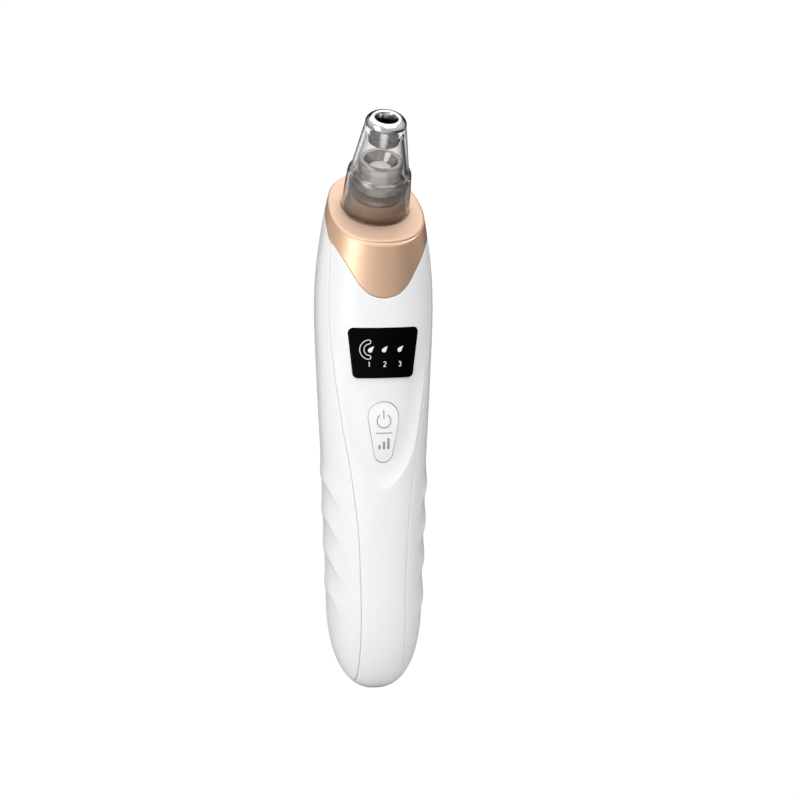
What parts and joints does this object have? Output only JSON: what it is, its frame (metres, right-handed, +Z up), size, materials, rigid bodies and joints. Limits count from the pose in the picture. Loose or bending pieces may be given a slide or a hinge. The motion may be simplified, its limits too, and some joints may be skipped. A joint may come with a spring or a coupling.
{
  "type": "blackhead vacuum extractor",
  "caption": "Hand-held pore suction device: two-shell grip body, slanted metallic collar, clear suction cone with a ring tip, display window, push button and internal diaphragm pump.",
  "frame": {"origin": "centre of the charging opening in the flat at the bottom of the body, on the body's vertical axis", "axes": "+Z up along the body, -Y towards the display and the way the head leans, +X to the right as the display is faced"},
  "size_m": [0.0342, 0.0422, 0.1698],
  "materials": {
    "white_shell": "satin gloss",
    "rose_gold": "satin plated",
    "black_lens": "glossy",
    "white_button": "satin",
    "smoked_clear": "clear, lightly smoked",
    "chrome": "polished",
    "grey_plastic": "satin",
    "black_plastic": "moulded",
    "nylon": "moulded",
    "silicone": "soft",
    "dark_rubber": "soft",
    "foam": "open cell",
    "circuit_board": "solder mask",
    "led": "clear",
    "steel": "plated",
    "magnet": "ferrite",
    "copper": "enamelled",
    "bronze": "sintered",
    "cell_wrap": "shrink wrap",
    "red_wire": "insulation"
  },
  "bodies": {
    "housing": {"front_shell": "white_shell", "rear_shell": "white_shell", "collar": "rose_gold", "display_window": "black_lens", "spout": "grey_plastic", "spout_seal": "dark_rubber", "spout_nut": "black_plastic", "filter_sponge": "foam", "suction_tube": "silicone", "inner_frame": "black_plastic", "display_board": "circuit_board", "display_leds": "led", "board_screws": "steel", "tact_switch_body": "steel", "battery_cell": "cell_wrap", "battery_tabs": "steel", "battery_leads": "red_wire", "charge_board": "circuit_board", "charging_socket": "steel", "motor_can": "steel", "motor_end_cap": "nylon", "motor_bearings": "bronze", "motor_magnets": "magnet", "motor_brushes": "bronze", "motor_leads": "red_wire", "crank_housing": "nylon", "diaphragm": "dark_rubber", "valve_plate": "nylon", "valve_flaps": "silicone", "pump_cover": "nylon", "pump_screws": "steel"},
    "probe": {"probe_cup": "smoked_clear", "probe_tip": "chrome"},
    "button": {"power_button": "white_button"},
    "switch_plunger": {"tact_switch_plunger": "black_plastic"},
    "rotor": {"motor_shaft": "steel", "motor_armature": "steel", "motor_windings": "copper", "motor_commutator": "copper", "crank": "bronze"},
    "wobble": {"wobble_plate": "nylon"}
  },
  "joints": [
    {"name": "probe_pull", "type": "slide", "parent": "housing", "child": "probe", "axis": [0, -0.5446, 0.8387], "range_m": [0, 0.03]},
    {"name": "button_press", "type": "slide", "parent": "housing", "child": "button", "axis": [0, 1, 0], "range_m": [0, 0.0003]},
    {"name": "switch_press", "type": "slide", "parent": "housing", "child": "switch_plunger", "axis": [0, 1, 0], "range_m": [0, 0.0003]},
    {"name": "crank_spin", "type": "hinge", "parent": "housing", "child": "rotor", "pos_m": [0, 0.003, 0.1], "axis": [0, 0, 1], "continuous": true},
    {"name": "wobble_spin", "type": "hinge", "parent": "rotor", "child": "wobble", "pos_m": [0, 0.003, 0.1], "axis": [0.0872, 0, 0.9962], "continuous": true}
  ],
  "couplings": [
    {"joint": "switch_press", "follows": "button_press", "ratio": 1},
    {"joint": "wobble_spin", "follows": "crank_spin", "ratio": -1}
  ]
}
